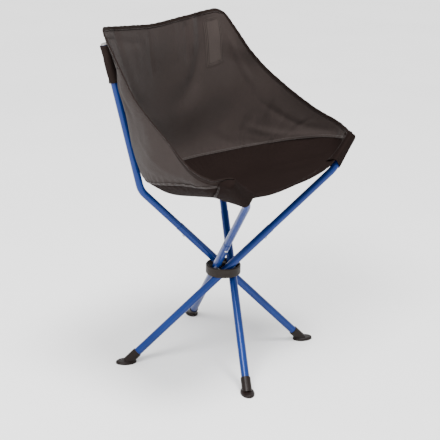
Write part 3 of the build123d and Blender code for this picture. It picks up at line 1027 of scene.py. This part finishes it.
def sleeve(key, s0=-0.086, s1=-0.001, radius=0.0107, inner_r=0.00915, cols=40):
    """A cloth tube around a rear pole, a little squared and creased, with hemmed
    ends. s0 and s1 are its ends along the pole from the pole's end."""
    name, body = f"pole_sleeve_{key}_cloth", LONG[key]
    d2, top = POLE[key]["d2"], POLE[key]["top"]
    # a1 is the side that faces the sling
    ref = -unit((top - HUB) * (1, 1, 0))
    a1 = unit(ref - d2 * (ref @ d2))
    a2 = np.cross(d2, a1)
    length = s1 - s0
    rows = int(length / 0.0025) + 1
    v = np.repeat(np.linspace(0, 1, rows)[:, None], cols, 1)
    ang = np.repeat(2 * math.pi * np.arange(cols)[None] / cols, rows, 0)
    z, c, s = s0 + v * length, np.cos(ang), np.sin(ang)
    hem = 0.0007 * (1 - smooth(np.minimum(v, 1 - v) * length, 0.006, 0.008))
    wrinkle = value_noise(np.stack([c * 0.9, s * 0.9, z / 0.016], -1), 0.8, SLEEVE_SEED) * 0.0006
    r = radius * (1 + 0.05 * np.cos(4 * ang)) + hem + wrinkle

    def tube(r):
        return (top + d2 * z[..., None] + a1 * (r * c)[..., None] + a2 * (r * s)[..., None]).reshape(-1, 3)

    verts = np.vstack([tube(r), tube(np.full_like(r, inner_r))])
    inner = rows * cols

    def idx(i, j):
        return i * cols + j % cols
    quads = [[idx(i, j), idx(i, j + 1), idx(i + 1, j + 1), idx(i + 1, j)]
             for i in range(rows - 1) for j in range(cols)]
    fs = quads + [[inner + k for k in (b, a, d, c)] for a, b, c, d in quads]
    for j in range(cols):
        for i, (j0, j1) in ((0, (j + 1, j)), (rows - 1, (j, j + 1))):
            fs.append([idx(i, j0), idx(i, j1), inner + idx(i, j1), inner + idx(i, j0)])
    fs = fix_winding(verts, fs)
    along = (verts - top) @ d2
    around = np.arctan2((verts - top) @ a2, (verts - top) @ a1)
    o = new_object(name, verts, fs, None, np.stack([along, around * radius], -1), MAT["dark_tape"])
    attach(o, body)
    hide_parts(f"pole_sleeve_{key}")
    # two stitch rows down the side next to the sling
    zz = np.linspace(s0 + 0.004, s1 - 0.004, 30)
    for k, turn in enumerate((0.0, 0.28)):
        out = a1 * math.cos(turn + 0.5) + a2 * math.sin(turn + 0.5)
        row = top + d2[None] * zz[:, None] + out[None] * (radius * (1 + 0.05 * math.cos(4 * turn)) + 0.0005)
        stitches(f"{name}_stitch_{k + 1}", row, np.repeat(out[None], len(zz), 0), MAT["thread"],
                 body=body)


for key in ("rr", "rl"):
    sleeve(key)
grid_theta = T2.reshape(-1)


def hull_chain(pts, first, last, away):
    """Convex hull of 2-D points, walked from the point first to the point last
    on the side of the direction away. Returns their indices."""
    order = sorted(range(len(pts)), key=lambda i: (pts[i][0], pts[i][1]))

    def half(ids):
        out = []
        for i in ids:
            while len(out) > 1:
                a, b = pts[out[-1]] - pts[out[-2]], pts[i] - pts[out[-1]]
                if a[0] * b[1] - a[1] * b[0] > 0:
                    break
                out.pop()
            out.append(i)
        return out[:-1]
    ring = half(order) + half(order[::-1])
    i0, i1 = (int(np.argmin(np.linalg.norm(pts[ring] - pts[k], axis=1))) for k in (first, last))
    n = len(ring)
    one = [ring[(i0 + k) % n] for k in range((i1 - i0) % n + 1)]
    two = [ring[(i0 - k) % n] for k in range((i0 - i1) % n + 1)]
    return max((one, two), key=lambda c: (pts[c] @ away).max())


POCKET_COLS = 60
across_u = np.linspace(0.55, 0.99, 90)


def pocket(key):
    """The closed cloth pocket on a front pole end. Its cloth starts on the seat
    behind the front hem, passes round the hem and the pole, and runs back flat
    to the underside of the seat."""
    sgn = 1 if key == "fl" else -1
    q = POLE[key]
    d2, top = q["d2"], q["top"]
    back = float((top - q["after"]) @ d2) + 0.004
    rows, pole_r, tip = 48, 0.0101, 0.0105
    near = np.linalg.norm(grid_points - top, axis=1) < 0.16
    gp, gn, gt = grid_points[near], grid_normal[near], grid_theta[near]
    pts = []
    for i in range(rows):
        v = i / (rows - 1)
        z = -back + v * (back + tip)
        at = top + d2 * z
        k = int(np.argmin(((gp - at)**2).sum(1)))
        e2 = unit(gn[k] - d2 * (gn[k] @ d2))
        e1 = np.cross(d2, e2)

        def level(theta, off):
            """Sling point at theta level with this section, in the section's axes."""
            line = on_sling(np.full(len(across_u), float(theta)), sgn * across_u, off)[0] - at
            u = np.interp(0.0, line @ d2, across_u)
            w = on_sling(theta, sgn * u, off)[0] - at
            return np.array([w @ e1, w @ e2, w @ d2])
        far = float(gt[k]) + 8.0 * (1 - v)**0.8 + 2.2
        hem = level(0.0, 0.0)
        out_of = unit(hem - level(2.0, 0.0)) * 0.0024
        shut = 1.0 if z < 0.002 else math.sqrt(max(1 - ((z - 0.002) / (tip - 0.002))**2, 0.0))
        r = 0.001 + (pole_r - 0.001) * shut
        centre = np.array([0, -(1 - shut) * (np.linalg.norm(gp[k] - at) - 0.003), 0])
        marks = [level(far, 0.0014), level(0.0, -0.0019) + out_of, level(0.0, 0.0019) + out_of]
        marks += [level(th, 0.0016) for th in np.linspace(0.5, far - 0.5, 8)]
        marks += [centre + np.array([math.cos(g), math.sin(g), 0]) * r
                  for g in np.linspace(0, 2 * math.pi, 40, endpoint=False)]
        marks = np.array(marks)
        chain = hull_chain(marks[:, :2], 1, 0, np.array([0.0, 1.0]))
        c3 = np.vstack([level(1.6 + 2.4 * (1 - v), -0.0019), marks[chain]])
        run = np.concatenate([[0], np.cumsum(np.linalg.norm(np.diff(c3[:, :2], axis=0), axis=1))])
        t = np.linspace(0, run[-1], POCKET_COLS)
        c3 = np.stack([np.interp(t, run, c3[:, c]) for c in range(3)], -1)
        pts.append(at + c3[:, :1] * e1 + c3[:, 1:2] * e2 + c3[:, 2:] * d2)
    pts = np.array(pts)
    # even out the corners of the hull; keep the two sewn edges
    for _ in range(2):
        mid = pts.copy()
        mid[:, 1:-1] = (pts[:, :-2] + 2 * pts[:, 1:-1] + pts[:, 2:]) / 4
        mid[1:-1] = (mid[:-2] + 2 * mid[1:-1] + mid[2:]) / 4
        pts[:, 1:-1] = mid[:, 1:-1]
    nn = unit(np.cross(np.gradient(pts, axis=0), np.gradient(pts, axis=1)))
    axis = top - d2 * (np.arange(rows)[::-1] / (rows - 1) * back)[:, None]
    mid_out = pts[:, POCKET_COLS // 2] - axis
    if (nn[:, POCKET_COLS // 2] * mid_out).sum() < 0:
        nn = -nn
    wob = value_noise(np.stack(np.meshgrid(np.arange(POCKET_COLS) / 7.0, np.arange(rows) / 9.0), -1), 1.0, 33)
    inside = smooth(np.minimum(np.arange(POCKET_COLS), np.arange(POCKET_COLS)[::-1]) / POCKET_COLS, 0.02, 0.2)
    pts = pts + nn * (0.0006 + 0.0006 * wob * inside[None])[..., None]
    across = np.concatenate([[0], np.cumsum(np.linalg.norm(np.diff(pts[rows // 3], axis=0), axis=1))])
    uv = np.stack(np.meshgrid(across, np.linspace(0, back, rows)), -1).reshape(-1, 2) + 0.2
    f = grid_faces(rows, POCKET_COLS)
    fv = pts.reshape(-1, 3)[f]
    face_n = np.cross(fv[:, 1] - fv[:, 0], fv[:, 2] - fv[:, 0])
    if (face_n * nn.reshape(-1, 3)[f[:, 0]]).sum() < 0:
        f = f[:, ::-1]
    s = Skin(pts.reshape(-1, 3), nn.reshape(-1, 3), uv, np.zeros((rows * POCKET_COLS, 3)), f)
    for fn in CUTS:
        s.cut(fn)
    s.pieces(f"pole_pocket_{key}_cloth", -0.0004, 0.0007, MAT["dark_cloth"],
             [f"pole_pocket_{key}"], held="stretched")
    off = 0.0011
    # the mouth stitch also uses the dark thread whose colour paints stitch-hole shade
    stitches(f"pole_pocket_{key}_mouth_stitch", pts[3] + nn[3] * off, nn[3], MAT["shade_dark_thread"])
    for k, c in enumerate((2, -3, -5)):
        stitches(f"pole_pocket_{key}_stitch_{k + 1}", pts[2:-5, c] + nn[2:-5, c] * off, nn[2:-5, c],
                 MAT["thread"])


for key in ("fr", "fl"):
    pocket(key)

# ---------------------------------------------------------------- CAD nodes
slots = {s["node"]: s["material_slot"] for s in record["subparts"]}
for name, o in frame["nodes"].items():
    if o.hide_render:
        continue
    if not o.material_slots:
        o.data.materials.append(MAT[slots[name]])
    for ms in o.material_slots:
        ms.material = MAT[slots[name]]

# ---------------------------------------------------------------- stage
floor_mat = Nodes("floor")
at = floor_mat.coord("Object")
tone = floor_mat.ramp(floor_mat.noise(at, 1.5, 2.0), [(0.3, (0.86, 0.86, 0.86)), (0.7, (0.89, 0.89, 0.89))])
floor_mat.set("Base Color", tone)
floor_mat.set("Roughness", 0.9)
floor_mat.set("Specular IOR Level", 0.1)
mesh = bpy.data.meshes.new("floor")
mesh.from_pydata([(-9, -9, 0), (9, -9, 0), (9, 9, 0), (-9, 9, 0)], [], [(0, 1, 2, 3)])
mesh.materials.append(floor_mat.m)
floor = bpy.data.objects.new("floor", mesh)
bpy.context.scene.collection.objects.link(floor)

world = bpy.data.worlds.new("studio")
world.use_nodes = True
world.node_tree.nodes["Background"].inputs[0].default_value = (1.0, 1.0, 1.0, 1)
world.node_tree.nodes["Background"].inputs[1].default_value = 1.28
bpy.context.scene.world = world


def aimed(name, kind, at, aim, watts, **values):
    data = bpy.data.lights.new(name, kind)
    data.energy = watts
    for k, v in values.items():
        setattr(data, k, v)
    o = bpy.data.objects.new(name, data)
    o.location = at
    o.rotation_euler = (Vector(aim) - Vector(at)).to_track_quat("-Z", "Y").to_euler()
    bpy.context.scene.collection.objects.link(o)


aimed("overhead", "SUN", (0.1, -0.6, 3.0), (0, 0, 0.2), 3.3, angle=math.radians(20))
aimed("side", "AREA", (-1.9, -0.3, 2.9), (0.1, 0, 0.5), 115, shape="RECTANGLE", size=1.4, size_y=1.4)
aimed("low side", "AREA", (-2.6, -0.2, 0.9), (0, 0, 0.4), 3, shape="RECTANGLE", size=1.6, size_y=1.2)

# ---------------------------------------------------------------- camera
# At the photograph's viewing angle: in front of the sitter's right side.
cam_at = Vector((-1.9300, -1.3457 + HUB_Y, 1.1581))
back_axis = Vector((-0.78076, -0.54438, 0.30670))
right_axis = Vector((0.57811, -0.81561, 0.02399))
up_axis = Vector((0.23709, 0.19603, 0.95150))
back_axis = (back_axis + right_axis * 0.004755 + up_axis * 0.022454).normalized()
right_axis = (right_axis - back_axis * right_axis.dot(back_axis)).normalized()
up_axis = back_axis.cross(right_axis)
cam = bpy.data.cameras.new("camera")
cam.lens = 86.6
cam.sensor_width = 36.0
cam_obj = bpy.data.objects.new("camera", cam)
cam_obj.matrix_world = Matrix((
    (right_axis[0], up_axis[0], back_axis[0], cam_at[0]),
    (right_axis[1], up_axis[1], back_axis[1], cam_at[1]),
    (right_axis[2], up_axis[2], back_axis[2], cam_at[2]),
    (0, 0, 0, 1)))
bpy.context.scene.collection.objects.link(cam_obj)
bpy.context.scene.camera = cam_obj
